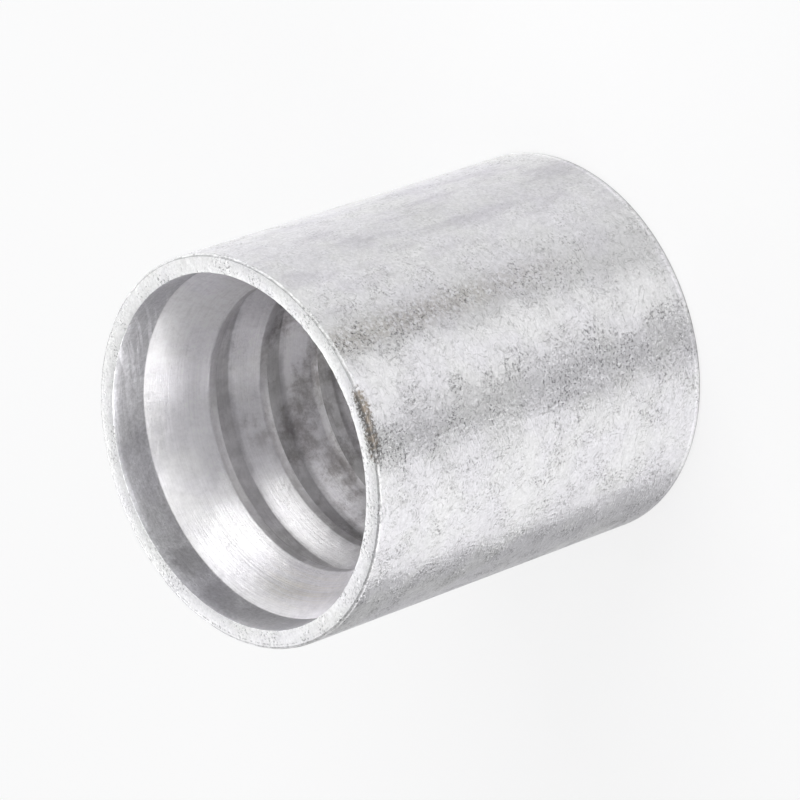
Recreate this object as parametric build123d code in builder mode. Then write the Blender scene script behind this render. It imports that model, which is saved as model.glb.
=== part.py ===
from build123d import *
import os
from math import isclose, radians, tan

# Crimp hose ferrule: one turned steel sleeve that is crimped over a hydraulic hose and its stem.
# Millimetres. The axis is Z. The sleeve stands on its collar at z = 0, and its mouth faces up.

# Across the axis, from the hose outwards
crest_diameter = 19.6  # bore across the tooth crests, which slips over the hose cover
tooth_height = 1.07  # from the floor of a groove to a crest
body_wall = 2.38  # steel behind a groove
mouth_wall = 1.3  # steel round the mouth
collar_bore = 15.0  # bore that closes on the stem's locking groove

# Along the axis
length = 30.0
mouth_depth = 2.8  # plain bore inside the mouth
crest_land = 0.7  # plain width of a crest
groove_floor = 2.05  # plain width of a groove
collar_thickness = 3.2
least_chamber = 5.0  # least room between the last tooth and the collar

flank_angle = 29.0  # between the axis and a flank that faces the mouth

# Edges
rim_round = 0.2
tool_nose = 0.25  # radius that the grooving tool leaves in a corner
collar_chamfer = 0.4

crest_radius = crest_diameter / 2
groove_radius = crest_radius + tooth_height
outer_radius = groove_radius + body_wall
mouth_radius = outer_radius - mouth_wall
collar_bore_radius = collar_bore / 2

flank_slope = tan(radians(flank_angle))
lead_length = (mouth_radius - crest_radius) / flank_slope
flank_length = tooth_height / flank_slope
tooth_pitch = crest_land + groove_floor + flank_length

# Heights of the upper edges of the crests, as many as leave the chamber its room
first_crest = length - mouth_depth - lead_length
lowest_crest = collar_thickness + least_chamber + crest_land
tooth_count = int((first_crest - lowest_crest) / tooth_pitch) + 1
crest_tops = [first_crest - tooth * tooth_pitch for tooth in range(tooth_count)]

# Half section, as radius and height: up the outside, over the mouth and down the inside
outside = [
    (collar_bore_radius, 0),
    (outer_radius, 0),
    (outer_radius, length),
    (mouth_radius, length),
    (mouth_radius, length - mouth_depth),
]
teeth = []
for crest_top in crest_tops:
    crest_bottom = crest_top - crest_land
    teeth.append((crest_radius, crest_top))
    teeth.append((crest_radius, crest_bottom))
    teeth.append((groove_radius, crest_bottom))
    if crest_top != crest_tops[-1]:
        teeth.append((groove_radius, crest_bottom - groove_floor))
collar = [
    (groove_radius, collar_thickness),
    (collar_bore_radius, collar_thickness),
]


def at_radius(radius):
    return lambda edge: isclose(edge.radius, radius, abs_tol=0.001)


with BuildPart() as ferrule:
    with BuildSketch(Plane.XZ):
        with BuildLine():
            Polyline(*outside, *teeth, *collar, close=True)
        make_face()
    revolve(axis=Axis.Z)

    circles = ferrule.edges().filter_by(GeomType.CIRCLE)
    fillet(circles.filter_by(at_radius(outer_radius)), rim_round)

    circles = ferrule.edges().filter_by(GeomType.CIRCLE)
    fillet(circles.filter_by(at_radius(groove_radius)), tool_nose)

    circles = ferrule.edges().filter_by(GeomType.CIRCLE)
    chamfer(circles.filter_by(at_radius(collar_bore_radius)), collar_chamfer)

ferrule.part.label = "ferrule"

os.makedirs("parts", exist_ok=True)
export_step(ferrule.part, "parts/ferrule.step")

print("outside", 2 * outer_radius, "x", length)
print("teeth", tooth_count, "pitch", round(tooth_pitch, 3))
print("crests from", round(crest_tops[0], 3), "down to", round(crest_tops[-1] - crest_land, 3))
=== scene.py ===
from math import cos, pi, radians, sin, sqrt, tan

import bpy
from mathutils import Matrix, Vector


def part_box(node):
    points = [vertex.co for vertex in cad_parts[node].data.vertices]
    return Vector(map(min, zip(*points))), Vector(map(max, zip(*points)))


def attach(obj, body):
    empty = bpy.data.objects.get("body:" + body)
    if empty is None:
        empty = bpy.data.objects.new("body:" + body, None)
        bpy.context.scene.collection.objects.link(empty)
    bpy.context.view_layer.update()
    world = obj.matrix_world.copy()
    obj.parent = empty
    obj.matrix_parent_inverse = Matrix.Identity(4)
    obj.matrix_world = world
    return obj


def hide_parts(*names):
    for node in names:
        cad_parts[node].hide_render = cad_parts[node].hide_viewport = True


millimetre = 0.001

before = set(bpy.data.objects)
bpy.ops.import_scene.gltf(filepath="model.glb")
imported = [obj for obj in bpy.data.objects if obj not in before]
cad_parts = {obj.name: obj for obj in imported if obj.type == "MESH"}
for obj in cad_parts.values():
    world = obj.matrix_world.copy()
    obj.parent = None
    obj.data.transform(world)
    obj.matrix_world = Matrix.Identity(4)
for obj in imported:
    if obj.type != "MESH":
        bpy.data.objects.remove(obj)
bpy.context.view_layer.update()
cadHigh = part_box("ferrule")[1]
bpy.ops.object.select_all(action="DESELECT")
print("frame loaded, ferrule is", round(cadHigh.z / millimetre, 2), "mm long")


# Where the photo was taken from
view = {
    "elevation": 41.22,  # degrees above the mouth's plane
    "roll": 109.07,  # clockwise, which lays the ferrule down with its mouth to the left
    "lens": 258.4,
    "sensor": 36.0,
    "mouthSeenAt": (-0.01059, -0.00342, -0.3715),  # right, up and back from the camera
    "clipStart": 0.01,
    "clipEnd": 20,
}


def placeCamera():
    tilt = Matrix.Rotation(radians(90 - view["elevation"]), 3, "X")
    turn = tilt @ Matrix.Rotation(-radians(view["roll"]), 3, "Z")
    mouth = Vector((0, 0, cadHigh.z))
    bpy.ops.object.camera_add(location=mouth - turn @ Vector(view["mouthSeenAt"]))
    camera = bpy.context.object
    camera.rotation_euler = turn.to_euler()
    camera.data.lens = view["lens"]
    camera.data.sensor_width = view["sensor"]
    camera.data.clip_start = view["clipStart"]
    camera.data.clip_end = view["clipEnd"]
    bpy.context.scene.camera = camera


placeCamera()
print("camera placed")


# The ferrule is a section drawn in the XZ plane and spun round Z
sleeve = {
    "outerRadius": cadHigh.x,
    "length": cadHigh.z,
    "mouthRadius": 0.01195,
    "mouthDepth": 0.0028,
    "crestRadius": 0.0098,
    "grooveRadius": 0.01087,
    "flankAngle": 29.0,
    "crestLand": 0.0007,
    "grooveFloor": 0.00205,
    "teeth": 4,
    "collarThickness": 0.0032,
    "collarBore": 0.0075,
    "rimRound": 0.0002,
    "toolNose": 0.00025,
    "collarChamfer": 0.0004,
    "crestWear": 0.00005,
    "roundSteps": 4,  # faces across a rounded corner
    "wearSteps": 2,
    "chamferSteps": 1,
    "longestRun": 0.0008,
    "spinSteps": 540,
    "smoothUnder": 24,  # degrees between two faces
    "sameCorner": 1e-6,  # corners of the section this near are one
    "samePoint": 1e-7,  # and so are points of the skin
}


def sectionPoints():
    # Each corner is its radius, its height and how far it's cut back along its two lines
    s = sleeve
    slope = tan(radians(s["flankAngle"]))
    lead = (s["mouthRadius"] - s["crestRadius"]) / slope
    flank = (s["grooveRadius"] - s["crestRadius"]) / slope
    pitch = s["crestLand"] + s["grooveFloor"] + flank
    softTurn = s["toolNose"] * tan(radians(s["flankAngle"] / 2))
    points = [
        (s["collarBore"], 0, s["collarChamfer"]),
        (s["outerRadius"], 0, s["rimRound"]),
        (s["outerRadius"], s["length"], s["rimRound"]),
        (s["mouthRadius"], s["length"], s["crestWear"]),
        (s["mouthRadius"], s["length"] - s["mouthDepth"], s["crestWear"]),
    ]
    top = s["length"] - s["mouthDepth"] - lead
    for tooth in range(s["teeth"]):
        points.append((s["crestRadius"], top, s["crestWear"]))
        points.append((s["crestRadius"], top - s["crestLand"], s["crestWear"]))
        points.append((s["grooveRadius"], top - s["crestLand"], s["toolNose"]))
        if tooth < s["teeth"] - 1:
            points.append((s["grooveRadius"], top - s["crestLand"] - s["grooveFloor"], softTurn))
        top -= pitch
    points.append((s["grooveRadius"], s["collarThickness"], s["toolNose"]))
    points.append((s["collarBore"], s["collarThickness"], s["collarChamfer"]))
    return points


def selectVertices(piece, test):
    # Leaves edit mode on, with only the vertices that pass the test selected
    bpy.ops.object.mode_set(mode="EDIT")
    bpy.ops.mesh.select_mode(type="VERT")
    bpy.ops.mesh.select_all(action="DESELECT")
    bpy.ops.object.mode_set(mode="OBJECT")
    for vertex in piece.data.vertices:
        vertex.select = test(vertex.co)
    bpy.ops.object.mode_set(mode="EDIT")


def drawSection():
    points = sectionPoints()
    gap = sleeve["sameCorner"]
    bpy.ops.mesh.primitive_plane_add(size=millimetre)
    piece = bpy.context.object
    piece.name = "ferruleSleeve"
    bpy.ops.object.mode_set(mode="EDIT")
    bpy.ops.mesh.merge(type="CENTER")
    bpy.ops.transform.translate(value=(points[0][0], 0, points[0][1]))
    for start, end in zip(points, points[1:] + points[:1]):
        step = (end[0] - start[0], 0, end[1] - start[1])
        bpy.ops.mesh.extrude_region_move(TRANSFORM_OT_translate={"value": step})
    bpy.ops.mesh.select_all(action="SELECT")
    bpy.ops.mesh.remove_doubles(threshold=gap)
    fewSteps = {
        sleeve["collarChamfer"]: sleeve["chamferSteps"],
        sleeve["crestWear"]: sleeve["wearSteps"],
    }
    for cut in sorted({point[2] for point in points}):
        corners = [Vector((point[0], 0, point[1])) for point in points if point[2] == cut]
        selectVertices(piece, lambda place: any((place - corner).length < gap for corner in corners))
        steps = fewSteps.get(cut, sleeve["roundSteps"])
        bpy.ops.mesh.bevel(offset=cut, offset_type="OFFSET", segments=steps, affect="VERTICES")
    bpy.ops.object.mode_set(mode="OBJECT")
    return piece


def splitLongRuns(piece):
    # Long lines of the section get points, so that the spun skin has faces of even size
    mesh = piece.data

    def span(edge):
        a, b = (mesh.vertices[i].co for i in edge.vertices)
        return (a - b).length

    lengths = sorted({round(span(edge), 7) for edge in mesh.edges})
    for length in lengths:
        cuts = int(length / sleeve["longestRun"])
        if cuts == 0:
            continue
        bpy.ops.object.mode_set(mode="EDIT")
        bpy.ops.mesh.select_mode(type="EDGE")
        bpy.ops.mesh.select_all(action="DESELECT")
        bpy.ops.object.mode_set(mode="OBJECT")
        for edge in mesh.edges:
            edge.select = abs(span(edge) - length) < sleeve["samePoint"]
        bpy.ops.object.mode_set(mode="EDIT")
        bpy.ops.mesh.subdivide(number_cuts=cuts)
        bpy.ops.object.mode_set(mode="OBJECT")


def spinSection(piece):
    bpy.ops.object.mode_set(mode="EDIT")
    bpy.ops.mesh.select_mode(type="VERT")
    bpy.ops.mesh.select_all(action="SELECT")
    bpy.ops.mesh.spin(steps=sleeve["spinSteps"], angle=2 * pi, center=(0, 0, 0), axis=(0, 0, 1))
    bpy.ops.mesh.select_all(action="SELECT")
    bpy.ops.mesh.remove_doubles(threshold=sleeve["samePoint"])
    bpy.ops.mesh.normals_make_consistent(inside=False)
    bpy.ops.object.mode_set(mode="OBJECT")
    bpy.ops.object.shade_smooth_by_angle(angle=radians(sleeve["smoothUnder"]))


# Knocks on the two edges of the mouth: place round the axis in degrees, depth and reach in mm
knocks = {
    "outerEdge": [
        (8, 0.04, 0.6), (-4, 0.05, 0.7), (-13, 0.04, 0.6), (22, 0.03, 0.4),
        (-27, 0.04, 0.5), (-38, 0.03, 0.3), (-58, 0.03, 0.4), (-79, 0.04, 0.5),
        (-96, 0.04, 0.4), (-113, 0.03, 0.6), (-131, 0.04, 0.4), (-152, 0.03, 0.5),
        (-171, 0.04, 0.4), (166, 0.04, 0.6), (149, 0.03, 0.4), (128, 0.04, 0.5),
        (109, 0.03, 0.4), (83, 0.03, 0.5), (61, 0.03, 0.3), (44, 0.03, 0.5),
    ],
    "innerEdge": [
        (-98, 0.03, 0.3), (-120, 0.03, 0.3), (-47, 0.03, 0.3), (-18, 0.02, 0.3),
        (31, 0.03, 0.3), (74, 0.03, 0.3), (138, 0.03, 0.3), (171, 0.03, 0.3),
    ],
}
knockAim = {
    "outerInset": 0.00006,  # how far inside each edge a knock is aimed
    "innerInset": 0.00002,
    "drop": 0.00004,
    "inward": 0.6,  # for each share downwards
}
edgeWear = {
    "strength": 0.00006,
    "grain": 0.0005,
    "reach": 0.00032,
}


def knockEdges(piece):
    rims = {
        "outerEdge": sleeve["outerRadius"] - knockAim["outerInset"],
        "innerEdge": sleeve["mouthRadius"] + knockAim["innerInset"],
    }
    height = Vector((0, 0, sleeve["length"] - knockAim["drop"]))
    for edge, marks in knocks.items():
        for degrees, depth, reach in marks:
            turn = radians(degrees)
            out = Vector((sin(turn), -cos(turn), 0))
            spot = out * rims[edge] + height
            nearest = min(piece.data.vertices, key=lambda vertex: (vertex.co - spot).length).co.copy()
            selectVertices(piece, lambda place: (place - nearest).length < sleeve["samePoint"])
            inward = out if edge == "innerEdge" else -out
            move = (inward * knockAim["inward"] + Vector((0, 0, -1))) * (depth * millimetre)
            bpy.ops.transform.translate(
                value=move,
                use_proportional_edit=True,
                proportional_edit_falloff="SMOOTH",
                proportional_size=reach * millimetre,
                use_proportional_connected=False,
            )
            bpy.ops.object.mode_set(mode="OBJECT")


def wearEdges(piece):
    # The plated edges of the mouth aren't quite true
    group = piece.vertex_groups.new(name="edges")
    edges = (
        (sleeve["outerRadius"], sleeve["length"]),
        (sleeve["mouthRadius"], sleeve["length"]),
    )
    for vertex in piece.data.vertices:
        radius = sqrt(vertex.co.x ** 2 + vertex.co.y ** 2)
        away = min(sqrt((radius - edge[0]) ** 2 + (vertex.co.z - edge[1]) ** 2) for edge in edges)
        if away < edgeWear["reach"]:
            group.add([vertex.index], 1 - away / edgeWear["reach"], "REPLACE")
    clouds = bpy.data.textures.new("edgeClouds", "CLOUDS")
    clouds.noise_scale = edgeWear["grain"]
    wear = piece.modifiers.new("edgeWear", "DISPLACE")
    wear.texture = clouds
    wear.texture_coords = "LOCAL"
    wear.vertex_group = "edges"
    wear.strength = -edgeWear["strength"]
    wear.mid_level = 0.0
    bpy.ops.object.modifier_apply(modifier=wear.name)


ferrule = drawSection()
splitLongRuns(ferrule)
print("section drawn with", len(ferrule.data.vertices), "points")
spinSection(ferrule)
print("ferrule spun,", len(ferrule.data.polygons), "faces")
knockEdges(ferrule)
wearEdges(ferrule)
print("mouth's edges worn")


class Wire:
    # A socket with Python's own operators: each one adds its Math node
    def __init__(self, tree, socket=None):
        self.tree = tree
        self.socket = socket

    def node(self, kind, settings, inputs, output=0):
        made = self.tree.nodes.new(kind)
        for name, value in settings.items():
            setattr(made, name, value)
        for name, value in inputs.items():
            if isinstance(value, Wire):
                self.tree.links.new(value.socket, made.inputs[name])
            else:
                made.inputs[name].default_value = value
        return Wire(self.tree, made.outputs[output])

    def maths(self, operation, first, second=0.0):
        return self.node("ShaderNodeMath", {"operation": operation}, {0: first, 1: second})

    def __add__(self, other):
        return self.maths("ADD", self, other)

    def __sub__(self, other):
        return self.maths("SUBTRACT", self, other)

    def __rsub__(self, other):
        return self.maths("SUBTRACT", other, self)

    def __mul__(self, other):
        return self.maths("MULTIPLY", self, other)

    __radd__ = __add__
    __rmul__ = __mul__

    def rise(self, start, end):
        # 0 below the start and 1 above the end, with a soft slope between them
        settings = {"interpolation_type": "SMOOTHSTEP"}
        inputs = {"Value": self, "From Min": start, "From Max": end}
        return self.node("ShaderNodeMapRange", settings, inputs)

    def near(self, middle, reach):
        # 1 at the middle, 0 from the reach on
        return 1 - self.maths("ABSOLUTE", self - middle).rise(0.0, reach)

    def vector(self, x, y, z=0.0):
        return self.node("ShaderNodeCombineXYZ", {}, {0: x, 1: y, 2: z})

    def noise(self, scale, detail=2.0, roughness=0.5, distortion=0.0):
        # This is the place where the noise is read
        inputs = {"Vector": self, "Scale": scale, "Detail": detail}
        inputs.update({"Roughness": roughness, "Distortion": distortion})
        return self.node("ShaderNodeTexNoise", {}, inputs)

    def blend(self, first, second):
        # From the first colour to the second as this goes from 0 to 1
        settings = {"data_type": "RGBA"}
        return self.node("ShaderNodeMix", settings, {0: self, 6: first, 7: second}, 2)

    def shade(self, share):
        return self.node("ShaderNodeVectorMath", {"operation": "SCALE"}, {0: self, 3: share})

    def tone(self, colour):
        return self.node("ShaderNodeVectorMath", {"operation": "MULTIPLY"}, {0: self, 1: colour})

    def stain(self, mask, colour):
        # This colour, multiplied by the other one where the mask is 1
        return self.tone(mask.blend((1, 1, 1, 1), colour))


def newMaterial(name):
    material = bpy.data.materials.new(name)
    material.use_nodes = True
    tree = material.node_tree
    shader = next(node for node in tree.nodes if node.type == "BSDF_PRINCIPLED")
    return material, Wire(tree), shader


def join(wire, shader, name):
    wire.tree.links.new(wire.socket, shader.inputs[name])


# Zinc plated steel. Heights, radii and depths are in mm, and turns in radians, from the
# camera's side towards +X. A pair is a middle and its reach in near, or a start and an end in rise.
plating = {
    "lilac": (0.994, 0.988, 1.0, 1),
    "straw": (1.0, 1.0, 0.99, 1),
    "speckLeast": 0.15,  # share of the specks that smooth places keep
    "speckDepth": 0.006,
    "veinWidth": (0.5, 0.03),
    "veinPepper": (0.38, 0.56),
    "ringStretch": 0.03,
    "pebbleLeast": 0.4,
    "pebbleGain": 0.8,
    "roughPatches": 0.07,  # what patches and specks add to the roughness
    "roughSpecks": 0.1,
    "roughLess": 0.03,
    "anisotropicTurn": 0.25,
    "bumpStrength": 1.0,
    "scratchLeans": (-24.0, 21.0),  # degrees from a ring round the axis
    "scratchRadius": 12.5,
    "scratchStretch": 0.3,
}

# Noises: waves per mm, detail, roughness and distortion, and the limits of a mask made of one
grains = {
    "pebbles": {"noise": (4.2, 1.4, 0.45), "limits": (0.44, 0.72)},
    "pepper": {"noise": (4.8, 2.0, 0.65)},
    "patches": {"noise": (0.5, 4.0, 0.65), "limits": (0.45, 0.62)},
    "specks": {"noise": (5.4, 3.0, 0.65), "limits": (0.51, 0.64)},
    "veins": {"noise": (0.8, 3.0, 0.6, 1.0)},
    "mottle": {"noise": (2.0, 3.0, 0.6)},
    "clouds": {"noise": (0.22, 3.0, 0.55), "limits": (0.40, 0.60)},
    "waves": {"noise": (0.9, 2.0, 0.5)},
    "swells": {"noise": (0.25, 1.0, 0.5)},
    "rings": {"noise": (6.0, 3.0, 0.6)},
    "scratches": {"noise": (5.0, 0.0), "limits": (0.58, 0.80)},
    "raggedBand": {"noise": (2.2, 3.0, 0.65)},
    "streakShadeGrain": {"noise": (3.4, 4.0, 0.7), "limits": (0.40, 0.56)},
    "drawnLines": {"noise": (1.0, 4.0, 0.65), "limits": (0.48, 0.66)},
    "edgeDots": {"noise": (3.2, 3.0, 0.65), "limits": (0.45, 0.60)},
    "dirt": {"noise": (5.5, 2.5, 0.65)},
    "rust": {"noise": (1.3, 3.0, 0.6), "limits": (0.44, 0.60)},
    "smearsAndReflections": {"noise": (3.4, 3.0, 0.6), "limits": (0.52, 0.60)},
    "smudges": {"noise": (0.36, 6.0, 0.72), "limits": (0.43, 0.66)},
}


def grain(place, name):
    made = place.noise(*grains[name]["noise"])
    limits = grains[name].get("limits")
    return made.rise(*limits) if limits else made


def scratches(along, around, lean):
    # Short scratches that lean from a ring round the axis
    c, s = cos(radians(lean)), sin(radians(lean))
    arc = around * plating["scratchRadius"]
    run = (arc * c + along * s) * plating["scratchStretch"]
    return grain(arc.vector(run, along * c - arc * s, lean), "scratches")


outsideFinish = {
    "colour": (0.66, 0.657, 0.67),
    "roughness": 0.42,
    "anisotropy": 1.0,
    "pebbles": 0.017,
    "scratches": 0.010,
    "waves": 0.035,
    "swells": 0.22,
    "rings": 0.0,
    "mottle": 0.30,
    "pepper": 0.42,
    "specks": 0.46,
    "veins": 0.34,
}
outsideMarks = {
    "smoothSide": (0.9, 0.6),
    "smoothShare": 0.7,
    "calmSide": (0.12, 0.16),
    "calmShare": 0.6,
    "bandStart": (-0.23, -0.19),
    "bandEnd": (-0.12, 0.06),
    "bandLean": 0.001,  # radians for each mm of height
    "bandRagged": (0.16, 0.2),  # at its start and at its end
    "bandRoughness": 0.5,
    "streakSide": (0.40, 0.13),
    "streakHeight": (2.0, 22.0),
    "streakLean": 0.002,
    "streakRoughness": 0.6,
    "streakShadeColour": (0.72, 0.70, 0.67, 1),
    "drawnSide": (1.0, 0.8),
    "drawnStretch": (0.5, 0.13),  # across the axis and along it
    "drawnColour": (0.85, 0.84, 0.865, 1),
    "footHighlightLine": (0.45, 0.2),
    "footHighlight": 0.18,
}


def outsideRoughAndStreak(mm, z, around, patches):
    # Rougher along the dark band in front and along a streak from the mouth that also gets a painted
    # dark reflection, smoother towards +X
    marks = outsideMarks
    smooth = around.near(*marks["smoothSide"]) * marks["smoothShare"]
    calm = around.near(*marks["calmSide"]) * marks["calmShare"]
    paintedDarkStreak = (around + z * marks["streakLean"]).near(*marks["streakSide"])
    paintedDarkStreak = paintedDarkStreak * z.rise(*marks["streakHeight"])
    ragged = grain(mm, "raggedBand")
    startRagged, endRagged = marks["bandRagged"]
    start = (around + z * marks["bandLean"] + ragged * startRagged).rise(*marks["bandStart"])
    end = (around + ragged * endRagged).rise(*marks["bandEnd"])
    added = start * (1 - end) * marks["bandRoughness"] + paintedDarkStreak * marks["streakRoughness"]
    return patches * (1 - smooth - calm) + added, smooth, paintedDarkStreak


def outsideColour(mm, x, y, z, around, paintedDarkStreak, colour):
    marks = outsideMarks
    # Painted dark reflection: a grey streak along the axis, broken by grain
    colour = colour.stain(paintedDarkStreak * grain(mm, "streakShadeGrain"), marks["streakShadeColour"])
    across, along = marks["drawnStretch"]
    drawn = grain(mm.vector(x * across, y * across, z * along), "drawnLines")
    return colour.stain(drawn * around.near(*marks["drawnSide"]), marks["drawnColour"])


edgeFinish = {
    "colour": (0.60, 0.60, 0.605),
    "roughness": 0.55,
    "anisotropy": 0.0,
    "pebbles": 0.030,
    "scratches": 0.010,
    "waves": 0.03,
    "swells": 0.0,
    "rings": 0.0,
    "mottle": 0.30,
    "pepper": 0.6,
    "specks": 0.5,
    "veins": 0.0,
    "edgeLines": 0.5,
}
rimFinishPaintedLight = {
    # Painted light: the rim face has a lighter copy of the plating's colour
    "colour": (0.95, 0.95, 0.955),
    "roughness": 0.48,
    "anisotropy": 0.2,
    "pebbles": 0.020,
    "scratches": 0.006,
    "waves": 0.03,
    "swells": 0.0,
    "rings": 0.004,
    "mottle": 0.30,
    "pepper": 0.35,
    "specks": 0.50,
    "veins": 0.10,
    "edgeLines": 0.4,
}
edgeMarks = {
    "outerLine": (0.08, 0.12),  # from the mouth's outer corner
    "innerLine": (0.36, 0.09),
    "innerSide": (-2.1, 1.2),
    "innerShare": 1.4,
    "farShadeHeight": (0.0, 5.0),  # painted shade: the far edge is darker than the mouth's
    "farPaintedShade": 0.7,
    "dirtSide": (-0.08, 0.32),
    "dirtFade": (0.0, 0.7),
    "dirtReach": (0.25, 1.15),
    "dirtShare": 0.48,
    "dirtLimits": (0.70, 1.03),
    "dirtColour": (0.16, 0.155, 0.15, 1),
    "rustColour": (0.27, 0.235, 0.20, 1),
}


def edgeLines(mm, around, offEdge):
    # Dotted lines where the plating is worn along the rim's edges
    marks = edgeMarks
    inner = offEdge.near(*marks["innerLine"]) * around.near(*marks["innerSide"])
    return grain(mm, "edgeDots") * (offEdge.near(*marks["outerLine"]) + inner * marks["innerShare"])


def edgeDirt(mm, around, offEdge, colour):
    # Dirt on the mouth's outer edge, grey and brown
    marks = edgeMarks
    side = around.near(*marks["dirtSide"]).rise(*marks["dirtFade"])
    spread = side * (1 - offEdge.rise(*marks["dirtReach"])) * marks["dirtShare"]
    dirt = (grain(mm, "dirt") + spread).rise(*marks["dirtLimits"])
    return dirt.blend(colour, grain(mm, "rust").blend(marks["dirtColour"], marks["rustColour"]))


boreFinishPaintedLight = {
    # Painted light: the bore has a lighter copy of the plating's colour
    "colour": (0.965, 0.956, 0.97),
    "roughness": 0.45,
    "anisotropy": 0.6,
    "pebbles": 0.0015,
    "scratches": 0.002,
    "waves": 0.012,
    "swells": 0.06,
    "rings": 0.015,
    "mottle": 0.34,
    "pepper": 0.16,
    "specks": 0.04,
    "veins": 0.0,
}
boreMarks = {
    "turnedShare": 0.20,
    "recessHeight": (27.15, 27.3),
    "recessPaintedShade": 0.28,
    "recessPepper": 0.5,
    "recessSide": (-1.6, 0.9),
    "recessSidePaintedShade": 0.28,
    # painted shade colour for the mouth's recess
    "recessShadeColour": (0.70, 0.705, 0.718, 1),
    "grooves": (10.6, 10.85),
    "lands": (9.81, 9.88),
    "landShare": 0.4,
    "teethHeight": (23.4, 23.6),
    "grooveShadeLimits": (0.36, 0.62),
    "grooveShadeDark": (0.02, 0.14),  # everywhere, and more in its patches
    "deepHeight": (18.2, 22.6),
    "deepFade": 0.6,
    "deepAcross": (3.0, 7.0),
    "deepPaintedShade": 0.28,
    "leadHeight": (25.0, 2.4),
    "leadSide": (-1.8, 0.8),
    "leadPaintedShade": 0.22,
    "smearMiddle": (1.7, 4.7, 34.0),  # of the curved light arcs in the mouth's recess, painted reflection and smears
    "smearStretch": 0.4,
    "smearSide": (2.3, 0.6),
    "smearFoot": (26.6, 1.2),
    "smearFootSide": (2.85, 0.25),
    "smearReflectionLight": 0.32,
    "smudgeHeight": (16.5, 20.0),
    "smudgeAcross": (1.5, 3.5),
    "smudgeTop": (17.0, 24.0),
    "smudgeColour": (0.54, 0.52, 0.51, 1),
    "varnishRings": (0.42, 0.58),
    "varnishSide": (-1.95, 0.5),
    "varnishHeight": (25.0, 2.2),
    "varnishColour": (0.93, 0.91, 0.84, 1),
}


def boreShade(mm, x, z, radius, around, pepper, waves, turned, shade):
    marks = boreMarks
    inRecess = z.rise(*marks["recessHeight"])
    shade = shade * (turned * marks["turnedShare"] + (1 - marks["turnedShare"] / 2))
    # Painted shade: the mouth's recess is darker, broken up by pepper grain
    shade = shade * (1 - inRecess * (marks["recessPaintedShade"] - pepper * marks["recessPepper"]))

    # Painted shade, in patches: darker on the lands and in the grooves, most in the deep ones, less
    # towards +X
    inGroove = radius.rise(*marks["grooves"])
    onLand = 1 - radius.rise(*marks["lands"])
    paintedGrooveShade = (inGroove + onLand * marks["landShare"]) * (1 - z.rise(*marks["teethHeight"]))
    least, patchy = marks["grooveShadeDark"]
    shade = shade * (1 - paintedGrooveShade * (waves.rise(*marks["grooveShadeLimits"]) * patchy + least))
    deep = inGroove * (1 - z.rise(*marks["deepHeight"]) * marks["deepFade"])
    shade = shade * (1 - deep * (1 - x.rise(*marks["deepAcross"])) * marks["deepPaintedShade"])
    # Painted shade: the lead cone is darker on one side
    lead = z.near(*marks["leadHeight"]) * around.near(*marks["leadSide"])
    shade = shade * (1 - lead * marks["leadPaintedShade"])

    # Painted reflection and smears: curved light arcs in the recess
    ends = {0: mm, 1: marks["smearMiddle"]}
    spread = mm.node("ShaderNodeVectorMath", {"operation": "DISTANCE"}, ends, "Value")
    arcs = grain(mm.vector(spread, around * marks["smearStretch"]), "smearsAndReflections")
    foot = z.near(*marks["smearFoot"]) * around.near(*marks["smearFootSide"])
    smearsAndReflections = arcs * (inRecess * around.near(*marks["smearSide"]) + foot)
    shade = shade * (smearsAndReflections * marks["smearReflectionLight"] + 1)
    # Painted shade: one side of the recess is darker still
    return shade * (1 - inRecess * around.near(*marks["recessSide"]) * marks["recessSidePaintedShade"])


def boreColour(mm, x, z, around, turned, colour):
    marks = boreMarks
    # Painted shade: the mouth's recess takes a darker grey
    colour = colour.stain(z.rise(*marks["recessHeight"]), marks["recessShadeColour"])
    patch = x.near(*marks["smudgeAcross"]) * (1 - z.rise(*marks["smudgeTop"]))
    smudged = mm.maths("MAXIMUM", 1 - z.rise(*marks["smudgeHeight"]), patch)
    colour = colour.stain(grain(mm, "smudges") * smudged, marks["smudgeColour"])
    varnish = turned.rise(*marks["varnishRings"]) * around.near(*marks["varnishSide"])
    return colour.stain(varnish * z.near(*marks["varnishHeight"]), marks["varnishColour"])


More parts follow.
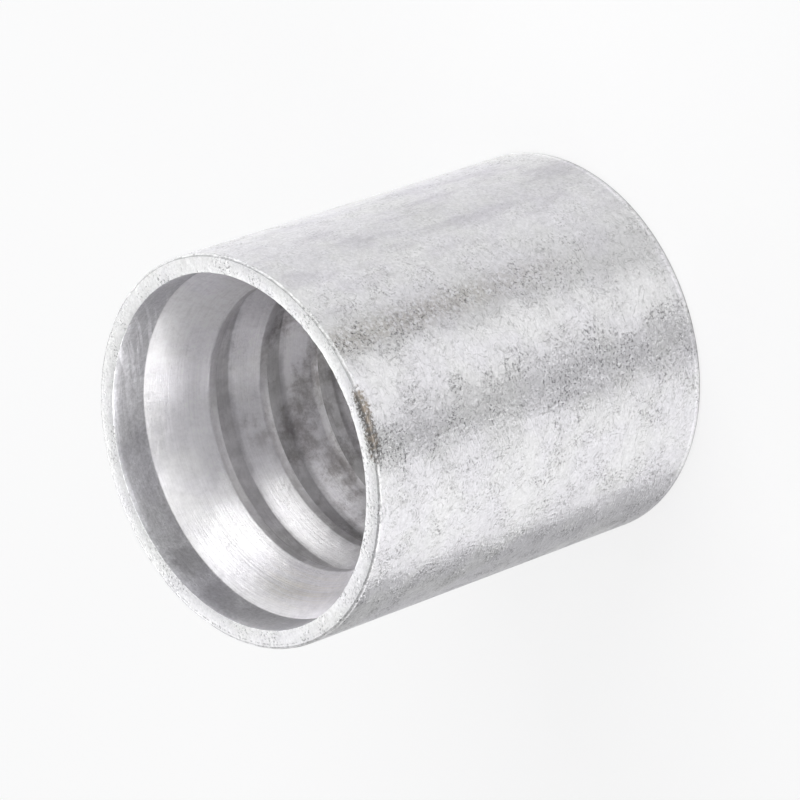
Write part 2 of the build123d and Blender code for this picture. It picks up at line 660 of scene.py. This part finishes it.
def platedSteel(name, finish):
    material, wire, shader = newMaterial(name)
    mm = wire.node("ShaderNodeTexCoord", {}, {}, "Object").shade(1 / millimetre)
    x, y, z = (wire.node("ShaderNodeSeparateXYZ", {}, {0: mm}, axis) for axis in "XYZ")
    radius = wire.maths("SQRT", x * x + y * y)
    along = radius + z
    around = wire.maths("ARCTAN2", x, 0 - y)
    offEdge = (sleeve["outerRadius"] + sleeve["length"]) / millimetre - radius - z

    pepper = grain(mm, "pepper")
    waves = grain(mm, "waves")
    turned = grain(wire.vector(x * plating["ringStretch"], y * plating["ringStretch"], along), "rings")
    rough = grain(mm, "patches")
    veins = grain(mm, "veins").near(*plating["veinWidth"]) * pepper.rise(*plating["veinPepper"])
    if name == "plateOutside":
        rough, smooth, paintedDarkStreak = outsideRoughAndStreak(mm, z, around, rough)
        veins = veins * (1 - smooth)
    specks = grain(mm, "specks") * (rough * (1 - plating["speckLeast"]) + plating["speckLeast"])

    # How light the metal is, round 1
    uneven = grain(mm, "mottle") * finish["mottle"] + pepper * finish["pepper"]
    shade = uneven + (1 - finish["mottle"] / 2 - finish["pepper"] / 2)
    shade = shade * (1 - specks * finish["specks"]) * (1 - veins * finish["veins"])
    if name in ("plateEdge", "plateRim"):
        shade = shade * (1 - edgeLines(mm, around, offEdge) * finish["edgeLines"])
    if name == "plateEdge":
        # Painted shade: the edge by the foot is darker
        farPaintedShade = edgeMarks["farPaintedShade"]
        shade = shade * (z.rise(*edgeMarks["farShadeHeight"]) * (1 - farPaintedShade) + farPaintedShade)
    # Painted highlight: a light line round the outside near the foot
    if name == "plateOutside":
        shade = shade * (z.near(*outsideMarks["footHighlightLine"]) * outsideMarks["footHighlight"] + 1)
    if name == "plateBore":
        shade = boreShade(mm, x, z, radius, around, pepper, waves, turned, shade)

    colour = grain(mm, "clouds").blend(plating["lilac"], plating["straw"])
    colour = colour.tone(finish["colour"]).shade(shade)
    if name == "plateOutside":
        colour = outsideColour(mm, x, y, z, around, paintedDarkStreak, colour)
    if name == "plateBore":
        colour = boreColour(mm, x, z, around, turned, colour)
    else:
        colour = edgeDirt(mm, around, offEdge, colour)
    join(colour, shader, "Base Color")

    gloss = rough * plating["roughPatches"] + specks * plating["roughSpecks"]
    join(gloss + (finish["roughness"] - plating["roughLess"]), shader, "Roughness")

    pebbles = grain(mm, "pebbles") * (rough * plating["pebbleGain"] + plating["pebbleLeast"])
    height = pebbles * finish["pebbles"] + waves * finish["waves"]
    height = height + grain(mm, "swells") * finish["swells"] + turned * finish["rings"]
    height = height - specks * plating["speckDepth"]
    left, right = (scratches(along, around, lean) for lean in plating["scratchLeans"])
    height = height + (left + right) * finish["scratches"]
    bumpInputs = {"Strength": plating["bumpStrength"], "Distance": millimetre, "Height": height}
    join(wire.node("ShaderNodeBump", {}, bumpInputs), shader, "Normal")
    shader.inputs["Metallic"].default_value = 1.0
    shader.inputs["Anisotropic"].default_value = finish["anisotropy"]
    shader.inputs["Anisotropic Rotation"].default_value = plating["anisotropicTurn"]
    return material


# Which faces get which finish: distances from the ends and from the walls
zones = {
    "edgeWidth": 0.0002,
    "edgeHeight": 0.0002,
    "rimHeight": 0.00015,
    "footHeight": 0.0001,
    "boreMargin": 0.0004,
}


def dressFaces(piece):
    finishes = {
        "plateOutside": outsideFinish,
        "plateRim": rimFinishPaintedLight,
        "plateBore": boreFinishPaintedLight,
        "plateEdge": edgeFinish,
    }
    for name, finish in finishes.items():
        piece.data.materials.append(platedSteel(name, finish))
    slots = {name: number for number, name in enumerate(finishes)}
    halfLength = sleeve["length"] / 2
    for face in piece.data.polygons:
        middle = face.center
        radius = sqrt(middle.x ** 2 + middle.y ** 2)
        fromEnd = halfLength - abs(middle.z - halfLength)
        onEdge = radius > sleeve["outerRadius"] - zones["edgeWidth"] and fromEnd < zones["edgeHeight"]
        onRim = radius > sleeve["mouthRadius"] and fromEnd < zones["rimHeight"]
        if onEdge:
            face.material_index = slots["plateEdge"]
        elif onRim or middle.z < zones["footHeight"]:
            face.material_index = slots["plateRim"]
        elif radius < sleeve["mouthRadius"] + zones["boreMargin"]:
            face.material_index = slots["plateBore"]


dressFaces(ferrule)
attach(ferrule, "root")
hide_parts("ferrule")
print("zinc plate made")


# A pale floor and plain soft boxes round it
studio = {
    "floorSize": 6.0,
    "floorColour": (0.86, 0.86, 0.865, 1),
    "floorRoughness": 0.9,
    "floorGlow": 0.72,  # share of the floor that's plain white to the camera and in the metal
    "glowColour": (1, 1, 1, 1),
    "worldColour": (0.97, 0.98, 1.0, 1),
    "worldStrength": 0.27,
    "lampDistance": 0.5,
}

# Azimuth 0 is the camera's side and 90 is +X, in degrees
softBoxes = {
    "sideBox": {"from": -93, "to": -28, "low": 2, "high": 18, "brightness": 6.9},
    "gapBox": {"from": -28, "to": -8, "low": 12, "high": 26, "brightness": 1.0},
    "frontBox": {"from": -10, "to": 24, "low": 2, "high": 18, "brightness": 6.1},
    "crossBox": {"from": 51, "to": 88, "low": 2, "high": 18, "brightness": 1.1},
    "backBox": {"from": 90, "to": 160, "low": 2, "high": 18, "brightness": 4.3},
    "leftBox": {"from": 168, "to": 222, "low": 2, "high": 18, "brightness": 2.9},
    "keyBox": {"from": 40, "to": 89, "low": 30, "high": 50, "brightness": 5.0},
    "rimBox": {"from": 150, "to": 210, "low": 32, "high": 52, "brightness": 1.05},
    "topBox": {"from": -20, "to": 20, "low": 70, "high": 110, "brightness": 0.8},
}


def makeFloor():
    bpy.ops.mesh.primitive_plane_add(size=studio["floorSize"])
    floor = bpy.context.object
    floor.name = "studioFloor"
    material, wire, shader = newMaterial("paleFloor")
    shader.inputs["Base Color"].default_value = studio["floorColour"]
    shader.inputs["Roughness"].default_value = studio["floorRoughness"]
    shader.inputs["Specular IOR Level"].default_value = 0.0
    seen = wire.node("ShaderNodeLightPath", {}, {}, "Is Camera Ray")
    mirrored = wire.node("ShaderNodeLightPath", {}, {}, "Is Glossy Ray")
    passed = wire.node("ShaderNodeLightPath", {}, {}, "Is Transmission Ray")
    glow = {"Color": studio["glowColour"], "Strength": 1.0}
    white = wire.node("ShaderNodeEmission", {}, glow)
    share = wire.maths("MINIMUM", seen + mirrored + passed, 1.0) * studio["floorGlow"]
    lit = Wire(wire.tree, shader.outputs[0])
    surface = wire.node("ShaderNodeMixShader", {}, {0: share, 1: lit, 2: white})
    output = next(node for node in wire.tree.nodes if node.type == "OUTPUT_MATERIAL")
    wire.tree.links.new(surface.socket, output.inputs["Surface"])
    floor.data.materials.append(material)


def makeSoftBox(name, box):
    middle = radians((box["from"] + box["to"]) / 2)
    half = radians((box["to"] - box["from"]) / 2)
    rise = radians((box["low"] + box["high"]) / 2)
    tall = radians((box["high"] - box["low"]) / 2)
    distance = studio["lampDistance"]
    place = Vector((sin(middle) * cos(rise), -cos(middle) * cos(rise), sin(rise))) * distance
    bpy.ops.object.light_add(type="AREA", location=place)
    lamp = bpy.context.object
    lamp.name = name
    lamp.rotation_euler = place.to_track_quat("Z", "Y").to_euler()
    lamp.data.shape = "RECTANGLE"
    lamp.data.size = 2 * distance * tan(half)
    lamp.data.size_y = 2 * distance * tan(tall)
    lamp.data.energy = box["brightness"] * pi * lamp.data.size * lamp.data.size_y


def makeWorld():
    world = bpy.data.worlds.new("studioAir")
    world.use_nodes = True
    background = next(node for node in world.node_tree.nodes if node.type == "BACKGROUND")
    background.inputs["Color"].default_value = studio["worldColour"]
    background.inputs["Strength"].default_value = studio["worldStrength"]
    bpy.context.scene.world = world


makeFloor()
makeWorld()
for boxName, boxValues in softBoxes.items():
    makeSoftBox(boxName, boxValues)
bpy.context.scene.view_settings.view_transform = "Standard"
print("studio lit")
